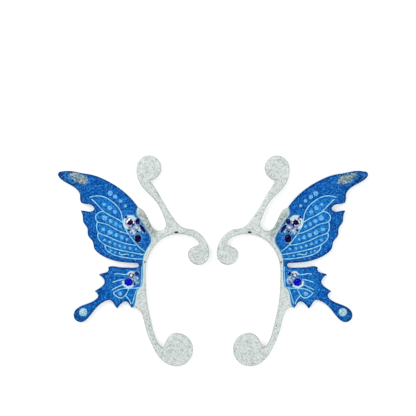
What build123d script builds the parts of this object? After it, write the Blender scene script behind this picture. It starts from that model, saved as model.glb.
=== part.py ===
from build123d import *
import math
import os

# A pair of cast-resin fairy ear wings, lying face up on their flat backs, right wing at +X.
# Millimetres. Z is up from the backs, Y runs from the lower curls to the antenna curls.
# The origin is on the plane of the backs, midway between the wings and at half their height.

# ---------------------------------------------------------------- driving dimensions
WING_WIDTH = 84.25        # ear side to wing tip, one wing
WING_HEIGHT = 117.5       # lower curl to antenna curl
PAIR_GAP = 4.3            # between the two wings as they lie

FRAME_THICKNESS = 4.0
WING_THICKNESS = 3.0

ANTENNA_CURL_RADIUS = 6.9
ARCH_CURL_RADIUS = 5.95
LOWER_CURL_RADIUS = 9.2

SCROLL_GROOVE_WIDTH = 0.6
SCROLL_GROOVE_DEPTH = 0.3
SCROLL_GROOVE_TURNS = 1.6
SPIRAL_CORE = 0.12        # reach of the groove inside a curl, as shares of its radius
SPIRAL_RIM = 0.72

VEIN_WIDTH = 0.7
VEIN_DEPTH = 0.6          # how deep a vein lies in the wing
VEIN_PROUD = 0.2          # how far it stands above the wing

DOT_DEPTH = 0.6
DOT_PROUD = 0.25
DOT_ROUND = 0.15
PEARL_RADIUS = 2.35
PEARL_PROUD = 1.0
PEARL_DEPTH = 0.8

STONE_DEPTH = 1.0         # girdle of a stone, sunk in the wing
STONE_PROUD = 0.9         # height of the crown above the wing
STONE_TABLE = 0.55        # width of the flat top as a share of the stone's own width
GLUE_THICKNESS = 0.15

FLAKE_RADIUS = 0.4
FLAKE_DEPTH = 0.12
FLAKE_PROUD = 0.06
FLAKE_COUNT = 16
SPECK_DEPTH = 0.25

# ---------------------------------------------------------------- design grid of one wing
# Grid points are measured outwards from the middle of the pair and upwards from half height,
# on a wing of the grid's own width and height. place() takes them to the wing as it is made.
GRID_WIDTH = 84.25
GRID_HEIGHT = 117.5
GRID_INNER = 2.15
NECK = -2.5               # height of the slot between the two wing lobes, where they meet

ANTENNA_OUTER = [(41.8, 45.5), (39.3, 40.9), (34.1, 35.7), (29.9, 30.1), (27.1, 23.6),
                 (26.4, 19.2), (28.6, 16.9), (31.9, 17.0), (36.0, 22.7), (41.9, 29.7)]
FORE_SEAM = [(42.7, 27.5), (42.5, 25.6), (40.6, 23.1), (38.6, 20.0), (36.5, 16.4), (34.6, 11.0),
             (36.6, 6.9), (38.9, 1.5), (39.2, -5.0), (39.3, -10.0), (40.0, -14.5)]
HIND_SEAM = [(41.8, -16.0), (43.0, -20.0), (44.6, -26.0)]
SPINE_OUTER = [(41.8, -26.7), (39.6, -30.0), (37.1, -39.4), (34.4, -46.0), (31.2, -52.2), (26.6, -56.9)]
SPINE_INNER = [(30.5, -46.4), (32.8, -41.0), (35.2, -31.6), (37.1, -20.7), (37.6, -10.0), (36.8, 0.2),
               (33.8, 6.6), (28.4, 12.2), (19.4, 14.9), (13.1, 14.1), (9.2, 12.1), (7.6, 9.9)]
ARCH_OUTER = [(2.9, 8.6), (6.4, 14.3), (11.2, 17.4), (16.9, 18.6), (21.0, 22.4), (27.8, 32.9),
              (32.4, 40.8), (35.2, 44.2)]

FORE_LOWER = [(48.6, -1.0), (54.4, -0.1), (59.9, 1.8), (63.9, 4.2), (66.4, 7.2), (67.1, 10.5),
              (69.8, 14.3), (70.2, 18.2), (72.3, 21.4), (72.7, 24.4), (74.0, 28.0)]
FORE_NOTCH = [(70.7, 27.6), (68.0, 27.5), (66.2, 28.9), (67.6, 30.9), (70.5, 31.6), (73.4, 32.2)]
FORE_OUTER = [(74.2, 34.5), (74.3, 37.1), (76.2, 40.0), (80.0, 42.5), (84.4, 45.1), (86.4, 47.3)]
FORE_TIP = [(86.2, 49.1), (84.4, 49.8)]
FORE_TOP = [(78.0, 49.9), (73.1, 48.9), (67.2, 47.9), (61.3, 45.7), (55.8, 42.8), (50.6, 39.2),
            (46.4, 35.4), (41.9, 29.7)]
HIND_LOBES = [[(46.8, -24.2), (48.6, -22.7), (50.6, -23.5), (53.3, -26.7)],
              [(54.9, -24.9), (57.0, -22.1), (61.0, -23.0), (65.4, -26.6), (69.4, -31.6),
               (73.6, -34.3), (77.2, -32.5), (77.4, -28.6), (73.4, -25.2), (67.0, -22.6),
               (64.1, -19.8), (66.1, -17.0)],
              [(62.4, -14.6), (60.5, -12.0), (61.2, -9.9), (63.8, -8.0)],
              [(61.2, -6.9), (58.9, -6.1), (58.5, -3.6)],
              [(56.4, -3.1), (52.8, -3.6), (48.0, -3.85), (44.4, -3.95), (42.6, -3.75)]]
LOBE_TIP = (45.6, -26.3)
SLOT_END = [(41.4, NECK), (42.6, -1.3)]
UNDER_FRAME = [(40.6, 26.6), (38.3, 22.9), (36.0, 19.0), (33.6, 12.0), (35.0, 7.2), (38.1, 0.0),
               (38.3, -13.0), (40.4, -20.0), (43.0, -25.6)]

FORE_VEINS = [
    [(68.6, 35.3), (65.6, 36.1), (62.0, 35.9), (57.1, 33.6), (53.3, 30.2), (51.0, 26.0), (50.2, 21.4),
     (48.8, 17.7), (46.0, 13.4), (42.9, 9.4), (38.2, 5.3)],
    [(67.6, 34.2), (63.7, 30.4), (60.3, 27.0), (55.4, 24.3), (50.3, 21.2)],
    [(60.9, 27.4), (63.7, 26.8), (65.5, 24.4), (64.6, 22.0), (60.6, 20.7), (55.1, 18.0), (47.3, 15.0)],
    [(64.2, 21.8), (64.9, 18.6), (63.7, 15.6), (60.3, 14.1), (55.1, 11.8), (49.5, 9.8), (42.9, 8.7)],
    [(63.9, 15.7), (63.9, 12.4), (61.0, 9.4), (56.8, 7.4), (50.6, 5.6), (43.6, 4.2), (38.8, 3.4)],
    [(60.2, 9.0), (59.5, 6.2), (55.8, 3.5), (50.2, 2.0), (44.0, 1.1), (39.2, 0.9)],
    [(52.2, 4.6), (51.6, 3.5), (49.4, 3.5), (47.0, 3.3)],
]
HIND_VEINS = [
    [(54.9, -7.5), (51.0, -7.5), (48.0, -7.6), (46.3, -6.2)],
    [(55.8, -12.0), (53.0, -11.0), (50.0, -10.4)],
    [(56.2, -16.2), (53.0, -14.5), (49.9, -13.2)],
    [(55.6, -18.0), (52.8, -16.3), (49.9, -15.5), (46.0, -15.4), (40.4, -14.6)],
    [(55.6, -18.0), (53.4, -20.1), (51.0, -20.8), (48.9, -19.3), (47.1, -15.6)],
    [(48.9, -19.4), (47.0, -21.4), (45.8, -24.0)],
    [(41.6, -14.9), (43.2, -17.9), (44.0, -20.6), (44.9, -23.6)],
    [(39.7, -3.4), (39.8, -8.0), (40.2, -14.2)],
]
FORE_DOTS = [(57.3, 37.6, 1.4), (54.5, 35.6, 1.2), (51.6, 33.3, 1.0), (48.9, 30.6, 0.9),
             (60.6, 31.4, 0.9), (57.6, 29.4, 1.3), (54.7, 27.2, 1.1),
             (60.4, 23.9, 1.4), (57.0, 22.0, 1.2), (54.2, 20.4, 1.0), (51.6, 19.0, 0.8),
             (61.2, 17.4, 1.1), (57.4, 15.7, 1.4), (53.9, 14.3, 1.2), (50.8, 13.1, 1.1), (48.0, 11.9, 0.8),
             (60.4, 11.5, 0.8), (57.6, 10.4, 0.8), (54.8, 9.4, 0.8), (52.0, 8.3, 0.8), (49.2, 7.5, 0.8),
             (46.2, 6.9, 0.8), (43.0, 6.4, 0.7),
             (57.0, 5.5, 0.7), (54.6, 4.6, 0.6), (45.0, 2.8, 0.6)]
HIND_DOTS = [(51.8, -18.4, 1.2)]
PEARL = (72.3, -28.7)

# name, grid place, half width, half height, corners, turn in degrees
FORE_STONES = [
    ("crystal_stone", (46.2, 21.3), 2.8, 3.0, 8, 0.0),
    ("navy_oval_stone", (41.95, 21.9), 1.4, 1.85, 8, 10.0),
    ("navy_marquise_stone", (39.2, 17.8), 3.0, 1.1, 6, 56.0),
    ("midnight_stone", (41.8, 12.4), 2.15, 2.6, 7, 0.0),
    ("lilac_chip", (42.6, 18.6), 1.3, 1.2, 6, 10.0),
    ("ice_chip", (44.7, 16.9), 1.25, 1.0, 5, 20.0),
]
HIND_STONES = [
    ("royal_stone", (47.1, -11.9), 2.5, 2.3, 7, 0.0),
    ("clear_stone", (45.5, -8.1), 1.5, 1.4, 8, 0.0),
    ("navy_chip", (42.5, -7.2), 1.4, 1.6, 6, 0.0),
    ("pale_chip", (43.2, -10.7), 1.2, 1.2, 5, 36.0),
]
DARK_CHIPS = [(42.2, 16.2, 0.7), (46.9, 17.0, 0.75), (48.6, 24.4, 0.8), (43.7, -13.3, 0.7)]
CHIP_CORNERS = 5

FLAKE_PATCH = (74.3, 46.2)
FLAKE_REACH = (6.0, 2.3)
FLAKE_TURN = 24.0
GOLDEN_ANGLE = math.pi * (3 - math.sqrt(5))
SPECKS = [(20.4, 15.9, 1.1, 0.55), (37.9, -0.7, 0.5, 0.45), (35.2, -36.0, 0.35, 0.3)]

STRETCH_X = WING_WIDTH / GRID_WIDTH
STRETCH_Y = WING_HEIGHT / GRID_HEIGHT
HALF_HEIGHT = WING_HEIGHT / 2


def place(point):
    """A design-grid point, at its place on the wing as it is made."""
    x, y = point[0], point[1]
    return Vector(PAIR_GAP / 2 + (x - GRID_INNER) * STRETCH_X, y * STRETCH_Y)


def stroke(points):
    """An edge through the points: two are a line, three an arc and more a curve."""
    if len(points) == 2:
        return Line(*points)
    if len(points) == 3:
        return ThreePointArc(*points)
    return Spline(*points)


def outline(strokes):
    """A flat face inside strokes laid end to end, the first starting where the last one ends."""
    edges = []
    last = strokes[-1][-1]
    for points in strokes:
        edges.append(stroke([last, *points]))
        last = points[-1]
    return make_face(edges)


# ---------------------------------------------------------------- the silver scroll frame
ANTENNA_CURL = Vector(place((35.7, 0)).X, HALF_HEIGHT - ANTENNA_CURL_RADIUS)
ARCH_CURL = Vector(PAIR_GAP / 2 + ARCH_CURL_RADIUS, place((0, 3.6)).Y)
LOWER_CURL = Vector(place((20.4, 0)).X, LOWER_CURL_RADIUS - HALF_HEIGHT)
# centre, radius, how far it draws in at its notch as a share of the radius, degrees to the notch
CURLS = [(ANTENNA_CURL, ANTENNA_CURL_RADIUS, 0.0, -60.0), (ARCH_CURL, ARCH_CURL_RADIUS, 0.2, 75.0),
         (LOWER_CURL, LOWER_CURL_RADIUS, 0.22, 22.0)]
NOTCH_SPAN = 68.0         # degrees to each side of a notch over which its curl draws in
CURL_POINTS = 36


def curl(centre, radius, pinch, notch):
    """A disc that draws in smoothly beside the notch between it and its limb."""
    points = []
    for i in range(CURL_POINTS):
        angle = 360 * i / CURL_POINTS
        away = min(abs((angle - notch + 180) % 360 - 180), NOTCH_SPAN)
        reach = radius * (1 - pinch * math.cos(math.pi / 2 * away / NOTCH_SPAN) ** 2)
        angle = math.radians(angle)
        points.append(centre + Vector(math.cos(angle), math.sin(angle)) * reach)
    return make_face(Spline(*points, periodic=True))


def frame_face():
    """The frame seen from above: one winding band with a disc at each of its three ends."""
    upper = ANTENNA_CURL + Vector(ANTENNA_CURL_RADIUS, 0)
    inner = ARCH_CURL - Vector(ARCH_CURL_RADIUS, 0)
    lower = LOWER_CURL - Vector(0, LOWER_CURL_RADIUS)
    band = outline([
        [upper],
        [place(p) for p in ANTENNA_OUTER],
        [place(p) for p in FORE_SEAM],
        [place(p) for p in HIND_SEAM],
        [*[place(p) for p in SPINE_OUTER], lower],
        [LOWER_CURL],
        [LOWER_CURL + Vector(0.6 * LOWER_CURL_RADIUS, 0)],
        [place(p) for p in SPINE_INNER],
        [ARCH_CURL + Vector(0, 0.6 * ARCH_CURL_RADIUS)],
        [ARCH_CURL],
        [inner],
        [place(p) for p in ARCH_OUTER],
        [ANTENNA_CURL - Vector(0, 0.6 * ANTENNA_CURL_RADIUS)],
        [ANTENNA_CURL],
    ])
    for disc in CURLS:
        band += curl(*disc)
    return band


def spiral(centre, radius, start, hand):
    """Points of a groove that winds from the middle of a curl out to near its rim.

    start is the angle of the outer end in degrees, hand is 1 for anticlockwise inwards.
    """
    steps = 18
    points = []
    for i in range(steps + 1):
        part = 1 - i / steps
        angle = math.radians(start + hand * 360 * SCROLL_GROOVE_TURNS * (1 - part))
        reach = radius * (SPIRAL_CORE + (SPIRAL_RIM - SPIRAL_CORE) * part)
        points.append(centre + Vector(math.cos(angle), math.sin(angle)) * reach)
    return points


def strips(curves, width):
    """Flat ribbons of one width along the curves, with round ends, as one face or several."""
    ribbons = Sketch()
    for points in curves:
        ribbons += trace(Spline(*points), width)
        for end in (points[0], points[-1]):
            ribbons += Pos(end.X, end.Y) * Circle(width / 2)
    return ribbons


def slab(flat, bottom, top):
    """The flat shape as a plate between two heights."""
    return extrude(Pos(0, 0, bottom) * flat, top - bottom)


def scroll_grooves():
    """The shallow lines in the frame: along each limb and on into its curl."""
    antenna_limb = [place(p) for p in [(24.0, 19.2), (27.4, 26.6), (32.6, 35.6), (38.4, 43.6)]]
    arch_limb = [place(p) for p in [(27.2, 14.8), (19.0, 17.2), (9.8, 14.3), (5.0, 8.2)]]
    lower_limb = [place(p) for p in [(39.0, -25.0), (36.6, -35.0), (32.8, -46.0), (27.0, -53.6)]]
    return strips([
        antenna_limb + spiral(ANTENNA_CURL, ANTENNA_CURL_RADIUS, 0, 1),
        arch_limb + spiral(ARCH_CURL, ARCH_CURL_RADIUS, 180, 1),
        lower_limb + spiral(LOWER_CURL, LOWER_CURL_RADIUS, -90, -1),
    ], SCROLL_GROOVE_WIDTH)


# ---------------------------------------------------------------- the blue wing
def wing_face():
    """The wing seen from above, running on under the frame that bounds it."""
    return outline([
        [place(p) for p in SLOT_END],
        [place(p) for p in FORE_LOWER],
        [place(p) for p in FORE_NOTCH],
        [place(p) for p in FORE_OUTER],
        [place(p) for p in FORE_TIP],
        [place(p) for p in FORE_TOP],
        *[[place(p)] for p in UNDER_FRAME],
        [place(LOBE_TIP)],
        *[[place(p) for p in lobe] for lobe in HIND_LOBES],
    ])


def discs(places, bottom, top, rounding):
    """Round studs at the places, each a grid point and a radius, with rounded top edges."""
    studs = []
    for x, y, radius in places:
        spot = place((x, y))
        stud = Pos(spot.X, spot.Y, bottom) * extrude(Circle(radius), top - bottom)
        studs.append(fillet(stud.edges().sort_by(Axis.Z)[-1], rounding))
    return Compound(children=studs)


def pearl():
    """A shallow dome set in the tail of the hindwing."""
    ball_radius = (PEARL_RADIUS ** 2 + PEARL_PROUD ** 2) / (2 * PEARL_PROUD)
    spot = place(PEARL)
    seat = extrude(Pos(0, 0, WING_THICKNESS - PEARL_DEPTH) * Circle(PEARL_RADIUS), PEARL_DEPTH + PEARL_PROUD)
    ball = Pos(0, 0, WING_THICKNESS + PEARL_PROUD - ball_radius) * Sphere(ball_radius)
    return Pos(spot.X, spot.Y, 0) * (seat & ball)


def girdle(width, height, corners, turn):
    """The outline of a stone: an even polygon, stretched and then turned."""
    points = []
    for i in range(corners):
        angle = 2 * math.pi * (i + 0.5) / corners
        points.append((width * math.cos(angle), height * math.sin(angle)))
    return Rot(0, 0, turn) * make_face(Polyline(*points, close=True))


def stone(spot, width, height, corners, turn):
    """A cut stone: a sunk straight girdle and a tapered crown with a flat table."""
    rim = girdle(width, height, corners, turn)
    table = girdle(width * STONE_TABLE, height * STONE_TABLE, corners, turn)
    sunk = slab(rim, WING_THICKNESS - STONE_DEPTH, WING_THICKNESS)
    crown = loft([Pos(0, 0, WING_THICKNESS) * rim, Pos(0, 0, WING_THICKNESS + STONE_PROUD) * table])
    centre = place(spot)
    return Pos(centre.X, centre.Y, 0) * (sunk + crown)


def stone_seat(spot, width, height, corners, turn):
    """The glue under a stone, over the whole of its flat base."""
    rim = girdle(width, height, corners, turn)
    base = WING_THICKNESS - STONE_DEPTH
    centre = place(spot)
    return Pos(centre.X, centre.Y, 0) * slab(rim, base - GLUE_THICKNESS, base)


def flakes():
    """Thin hexagons of foil, spread evenly over the patch near the wing tip."""
    spot = place(FLAKE_PATCH)
    leaves = []
    for i in range(FLAKE_COUNT):
        reach = math.sqrt((i + 0.5) / FLAKE_COUNT)
        angle = i * GOLDEN_ANGLE
        x = FLAKE_REACH[0] * reach * math.cos(angle)
        y = FLAKE_REACH[1] * reach * math.sin(angle)
        leaf = Pos(x, y) * RegularPolygon(FLAKE_RADIUS, 6, rotation=30 * i)
        leaves.append(slab(leaf, WING_THICKNESS - FLAKE_DEPTH, WING_THICKNESS + FLAKE_PROUD))
    return Pos(spot.X, spot.Y, 0) * Rot(0, 0, FLAKE_TURN) * Compound(children=leaves)


def specks():
    """Dark specks of glitter caught in the face of the frame."""
    spots = []
    for x, y, width, height in SPECKS:
        centre = place((x, y))
        fleck = Pos(centre.X, centre.Y) * Ellipse(width, height)
        spots.append(slab(fleck, FRAME_THICKNESS - SPECK_DEPTH, FRAME_THICKNESS))
    return spots


def as_group(shapes):
    """Several separate solids kept together as one piece of the assembly."""
    return Compound(children=[solid for shape in shapes for solid in shape.solids()])


def fore_hind(shape):
    """The parts of a shape above and below the neck between forewing and hindwing."""
    reach = 4 * WING_WIDTH
    above = Pos(0, place((0, NECK)).Y + reach / 2, 0) * Box(reach, reach, reach)
    below = Pos(0, place((0, NECK)).Y - reach / 2, 0) * Box(reach, reach, reach)
    return shape & above, shape & below


def one_wing():
    """Every piece of the wing on the +X side, by name."""
    frame_flat = frame_face()
    frame = slab(frame_flat, 0, FRAME_THICKNESS)
    frame -= slab(scroll_grooves(), FRAME_THICKNESS - SCROLL_GROOVE_DEPTH, FRAME_THICKNESS)
    spots = specks()
    for spot in spots:
        frame -= spot

    flat = wing_face() - frame_flat
    wing = slab(flat, 0, WING_THICKNESS)
    pieces = {"scroll_frame": frame, "frame_specks": as_group(spots)}

    vein_bottom, vein_top = WING_THICKNESS - VEIN_DEPTH, WING_THICKNESS + VEIN_PROUD
    fore_veins = slab(strips([[place(p) for p in c] for c in FORE_VEINS], VEIN_WIDTH) & flat,
                      vein_bottom, vein_top)
    hind_veins = slab(strips([[place(p) for p in c] for c in HIND_VEINS], VEIN_WIDTH) & flat,
                      vein_bottom, vein_top)
    pieces["forewing_veins"], pieces["hindwing_veins"] = fore_veins, hind_veins

    dot_bottom, dot_top = WING_THICKNESS - DOT_DEPTH, WING_THICKNESS + DOT_PROUD
    pieces["forewing_dots"] = discs(FORE_DOTS, dot_bottom, dot_top, DOT_ROUND)
    pieces["hindwing_dot"] = discs(HIND_DOTS, dot_bottom, dot_top, DOT_ROUND)
    pieces["tail_pearl"] = pearl()
    pieces["tip_flakes"] = flakes()

    glue = []
    for name, *cut in FORE_STONES + HIND_STONES:
        pieces[name] = stone(*cut)
        glue.append(stone_seat(*cut))
    chips = []
    for x, y, radius in DARK_CHIPS:
        cut = ((x, y), radius, radius, CHIP_CORNERS, 0)
        chips.append(stone(*cut))
        glue.append(stone_seat(*cut))
    pieces["dark_chips"] = as_group(chips)
    pieces["stone_glue"] = as_group(glue)

    for name, piece in pieces.items():
        if name not in ("scroll_frame", "frame_specks"):
            for solid in piece.solids():
                wing -= solid
    pieces["forewing_panel"], pieces["hindwing_panel"] = fore_hind(wing)
    return pieces


os.makedirs("parts", exist_ok=True)
for name, piece in one_wing().items():
    export_step(piece, f"parts/right_{name}.step")
    export_step(mirror(piece, about=Plane.YZ), f"parts/left_{name}.step")
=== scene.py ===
"""Looks of a pair of cast-resin fairy ear wings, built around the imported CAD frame."""

import logging
import math
from dataclasses import dataclass, field
from enum import Enum

import bmesh
import bpy
import numpy as np
from mathutils import Matrix, Vector
from mathutils.geometry import delaunay_2d_cdt


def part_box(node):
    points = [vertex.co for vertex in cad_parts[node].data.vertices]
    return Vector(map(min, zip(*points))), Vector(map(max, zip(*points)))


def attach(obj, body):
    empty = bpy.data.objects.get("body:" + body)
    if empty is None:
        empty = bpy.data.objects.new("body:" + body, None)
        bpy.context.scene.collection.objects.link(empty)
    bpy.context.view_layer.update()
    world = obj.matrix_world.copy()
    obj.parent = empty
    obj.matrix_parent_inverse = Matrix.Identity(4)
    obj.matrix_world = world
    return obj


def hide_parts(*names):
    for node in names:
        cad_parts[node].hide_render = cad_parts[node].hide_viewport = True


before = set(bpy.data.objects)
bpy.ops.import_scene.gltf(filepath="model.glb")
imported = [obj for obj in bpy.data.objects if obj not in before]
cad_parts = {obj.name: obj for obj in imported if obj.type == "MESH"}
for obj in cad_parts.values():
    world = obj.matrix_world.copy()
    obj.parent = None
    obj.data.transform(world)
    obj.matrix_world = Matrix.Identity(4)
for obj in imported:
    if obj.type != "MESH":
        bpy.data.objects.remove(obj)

log = logging.getLogger("fairy_wings")

MM = 0.001                     # metres in a millimetre: all sizes below are in millimetres

Colour = tuple[float, float, float]
Loops = list[np.ndarray]


class Side(Enum):
    """Which wing of the pair a piece belongs to, and the sign of its X."""

    RIGHT = 1
    LEFT = -1

    @property
    def word(self) -> str:
        """The side as it is written in node and body names."""
        return self.name.lower()


# ------------------------------------------------------------------ finishes
@dataclass(frozen=True)
class Glitter:
    """Fine glitter flakes cast in clear resin.

    Attributes:
        name: material name.
        deep, body, bright: colours of the darkest, the common and the lightest flakes.
        spark: colour of the few flakes that catch the light.
        grain, fine_grain: widths of the two sizes of flake.
        spark_share: share of the flakes that catch the light.
        tilt: how far flakes lean out of the surface.
        roughness, metallic, gloss: of the flakes.
        coat: weight of the clear resin's polish.
    """

    name: str
    deep: Colour
    body: Colour
    bright: Colour
    spark: Colour
    grain: float = 0.62
    fine_grain: float = 0.26
    spark_share: float = 0.04
    tilt: float = 0.35
    roughness: float = 0.42
    metallic: float = 0.25
    gloss: float = 0.12
    coat: float = 0.14


@dataclass(frozen=True)
class WingTints:
    """Colours that the wing takes on by place: painted shade at the rims, painted light on the side walls, cells,
    painted vein shadows, root and tip.
    """

    # painted shade: the dark navy that the rounded edges take on
    rim: Colour = (0.0, 0.020, 0.150)
    # painted light: the pale teal that stands in for light through the resin at the side walls
    wall: Colour = (0.060, 0.300, 0.480)
    cell_deep: Colour = (0.0, 0.060, 0.320)
    cell_bright: Colour = (0.012, 0.270, 0.760)
    shadow: Colour = (0.0, 0.030, 0.190)
    root: Colour = (0.0, 0.080, 0.500)
    halo: Colour = (0.720, 0.950, 1.000)
    gap: Colour = (0.010, 0.110, 0.220)
    tip_dark: Colour = (0.0, 0.024, 0.110)
    tip_light: Colour = (0.024, 0.210, 0.560)
    tip_pale: Colour = (0.480, 0.540, 0.430)
    tip_blue: Colour = (0.012, 0.120, 0.260)
    seam: Colour = (0.160, 0.560, 0.900)
    seam_pale: Colour = (0.480, 0.800, 0.920)


@dataclass(frozen=True)
class Cast:
    """A plain or pearly resin.

    Attributes:
        name: material name.
        colour, shade: the two colours that it mottles between.
        mottle: width of the mottling.
        roughness, metallic, coat, gloss: of the surface.
    """

    name: str
    colour: Colour
    shade: Colour
    mottle: float = 1.0
    roughness: float = 0.3
    metallic: float = 0.0
    coat: float = 0.6
    gloss: float = 0.3


@dataclass(frozen=True)
class Gem:
    """A foil-backed cut stone, whose facets each show one of a few tones: its colour and painted light and dark
    reflections.

    Attributes:
        name: material name.
        table: tone of its flat top.
        tones: tones of its other facets; these and the top mix the stone's colour with painted reflections.
        seed: for the choice of each facet's tone.
    """

    name: str
    table: Colour
    tones: tuple[Colour, ...]
    seed: int


SILVER = Glitter("silver_glitter_resin", deep=(0.30, 0.36, 0.34), body=(0.675, 0.735, 0.72),
                 bright=(0.84, 0.89, 0.88), spark=(1.0, 1.0, 1.0), grain=0.74, tilt=0.30,
                 roughness=0.38, metallic=0.2, gloss=0.4, coat=0.3)
BLUE = Glitter("blue_glitter_resin", deep=(0.0, 0.020, 0.170), body=(0.001, 0.098, 0.430),
               bright=(0.014, 0.260, 0.780), spark=(0.16, 0.52, 0.95), grain=0.86, gloss=0.04, coat=0.08)
TINTS = WingTints()
SMOKE = (0.22, 0.27, 0.27)
VEIN = Cast("sky_blue_vein_resin", (0.330, 0.770, 1.000), (0.120, 0.500, 0.900), mottle=1.8, coat=0.2, gloss=0.2)
DOT = Cast("sky_blue_dot_resin", (0.250, 0.640, 0.930), (0.020, 0.250, 0.680), mottle=0.8, coat=0.2, gloss=0.1)
PEARL = Cast("pearl_resin", (0.600, 0.800, 0.800), (0.110, 0.400, 0.640), mottle=1.0, roughness=0.25, coat=0.4, gloss=0.2)
FOIL = Cast("pale_gold_foil", (0.660, 0.670, 0.520), (0.080, 0.260, 0.340), mottle=0.9, metallic=0.3, coat=0.2)
SPECK = Cast("dark_speck", (0.14, 0.16, 0.16), (0.05, 0.06, 0.06), mottle=0.5)
GLUE = Cast("clear_glue", (0.50, 0.78, 0.92), (0.020, 0.170, 0.42), mottle=1.3, roughness=0.25, coat=0.2, gloss=0.1)

BLACK, INK, NAVY = (0.001, 0.001, 0.006), (0.001, 0.001, 0.045), (0.001, 0.001, 0.160)
ROYAL, VIOLET, LILAC = (0.001, 0.001, 0.640), (0.060, 0.030, 0.420), (0.520, 0.470, 0.860)
ICE, SKY = (0.900, 0.900, 0.980), (0.060, 0.260, 0.620)
# each stone's facets mix its own colour with painted reflections: ICE facets are painted highlights, and the BLACK
# facets of the clear and crystal stones are painted dark reflections
GEMS = {
    "crystal_stone": Gem("crystal_gem", INK, (BLACK, ICE, VIOLET, LILAC, BLACK, ICE), 3),
    "navy_oval_stone": Gem("navy_oval_gem", NAVY, (NAVY, NAVY, NAVY, INK, NAVY), 5),
    "navy_marquise_stone": Gem("navy_marquise_gem", NAVY, (NAVY, INK, NAVY, BLACK, INK), 8),
    "midnight_stone": Gem("midnight_gem", INK, (INK, INK, NAVY, BLACK), 4),
    "lilac_chip": Gem("lilac_gem", ICE, (LILAC, ICE, LILAC, ICE), 2),
    "ice_chip": Gem("ice_gem", ICE, (ICE, LILAC, ICE), 12),
    "royal_stone": Gem("royal_gem", ROYAL, (ROYAL, ROYAL, ROYAL, NAVY), 6),
    "clear_stone": Gem("clear_gem", ICE, (BLACK, BLACK, BLACK, NAVY, ICE), 7),
    "navy_chip": Gem("navy_chip_gem", NAVY, (NAVY, INK, NAVY, SKY), 9),
    "pale_chip": Gem("pale_chip_gem", LILAC, (LILAC, SKY, ICE, LILAC), 1),
    "dark_chips": Gem("dark_chip_gem", BLACK, (BLACK, INK, BLACK, NAVY), 11),
}

# stones with a pale rim on one side: the way it faces and its half angle in degrees, and its width
HALOS = (("crystal_stone", 40.0, 125.0, 1.7), ("royal_stone", -70.0, 95.0, 1.7), ("clear_stone", 75.0, 80.0, 1.3))
POOL_STONES = ("lilac_chip", "ice_chip", "pale_chip", "navy_marquise_stone", "navy_oval_stone")

WING_TOP = 3.0                 # face of the blue wing
VEIN_LIFT = 0.02               # extra height of the rounded veins over the square CAD ones
FLAKE_LEAN = 0.24
FLAKE_THICKNESS = 0.05
PATCH_TURN = 24.0              # slant, in degrees, and reach of the pale patch at the tip
PATCH_REACH = (7.2, 3.2)
TIP_REACH = (68.0, 78.0)       # where the darker tip begins and is full, outwards


# ------------------------------------------------------------------ node graphs
class Graph:
    """A small helper that adds and joins shader nodes of one material."""

    def __init__(self, name: str) -> None:
        self.material = bpy.data.materials.new(name)
        self.material.use_nodes = True
        self.tree = self.material.node_tree
        self.shader = self.tree.nodes["Principled BSDF"]

    def add(self, kind: str, inputs: dict | None = None, **settings):
        """Adds a node.

        Args:
            kind: the node's type name.
            inputs: a value or another node's socket for each input, by name or number.
            settings: properties of the node.

        Returns:
            The new node.
        """
        node = self.tree.nodes.new(kind)
        for key, value in settings.items():
            setattr(node, key, value)
        for key, value in (inputs or {}).items():
            self.feed(node.inputs[key], value)
        return node

    def feed(self, socket, value) -> None:
        """Joins another node's socket to this one, or sets a constant on it."""
        if isinstance(value, bpy.types.NodeSocket):
            self.tree.links.new(value, socket)
        elif isinstance(value, tuple) and len(value) == 3 and socket.type == "RGBA":
            socket.default_value = (*value, 1.0)
        else:
            socket.default_value = value

    def shade(self, **inputs) -> None:
        """Sets or joins inputs of the material's own shader, with _ for a space in a name."""
        for key, value in inputs.items():
            self.feed(self.shader.inputs[key.replace("_", " ")], value)

    def attribute(self, name: str):
        """The value of a float attribute stored on the mesh."""
        return self.add("ShaderNodeAttribute", attribute_name=name).outputs["Fac"]

    def math(self, operation: str, *values, clamp: bool = False):
        """The result of a maths node."""
        inputs = dict(enumerate(values))
        return self.add("ShaderNodeMath", inputs, operation=operation, use_clamp=clamp).outputs[0]

    def ramp(self, value, low: float, high: float):
        """value mapped smoothly from low..high to 0..1, clamped."""
        node = self.add("ShaderNodeMapRange", {0: value, 1: low, 2: high, 3: 0.0, 4: 1.0},
                        interpolation_type="SMOOTHSTEP")
        return node.outputs[0]

    def mix(self, share, first, second, blend: str = "MIX"):
        """Two colours mixed by a share."""
        node = self.add("ShaderNodeMix", data_type="RGBA", blend_type=blend)
        self.feed(node.inputs[0], share)
        self.feed(node.inputs[6], first)
        self.feed(node.inputs[7], second)
        return node.outputs[2]

    def place(self):
        """Object coordinates, in metres."""
        return self.add("ShaderNodeTexCoord").outputs["Object"]

    def flakes(self, width: float):
        """A random colour for each flake of a width in millimetres."""
        cells = self.add("ShaderNodeTexVoronoi", {"Vector": self.place(), "Scale": 1 / (width * MM)},
                         feature="F1", voronoi_dimensions="3D")
        return cells.outputs["Color"]

    def channels(self, colour):
        """The three channels of a colour, as numbers."""
        return self.add("ShaderNodeSeparateColor", {0: colour}).outputs

    def noise(self, width: float, detail: float = 2.0):
        """Soft noise with features of a width in millimetres."""
        node = self.add("ShaderNodeTexNoise", {"Vector": self.place(), "Scale": 1 / (width * MM),
                                               "Detail": detail})
        return node.outputs[0]

    def leaning(self, colour, tilt: float):
        """The surface normal, leaning by a random amount for each flake."""
        spread = self.add("ShaderNodeVectorMath", {0: colour, 1: (0.5, 0.5, 0.5)}, operation="SUBTRACT")
        lean = self.add("ShaderNodeVectorMath", {0: spread.outputs[0]}, operation="SCALE")
        lean.inputs["Scale"].default_value = tilt
        normal = self.add("ShaderNodeNewGeometry").outputs["Normal"]
        both = self.add("ShaderNodeVectorMath", {0: normal, 1: lean.outputs[0]}, operation="ADD")
        return self.add("ShaderNodeVectorMath", {0: both.outputs[0]}, operation="NORMALIZE").outputs[0]


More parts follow.
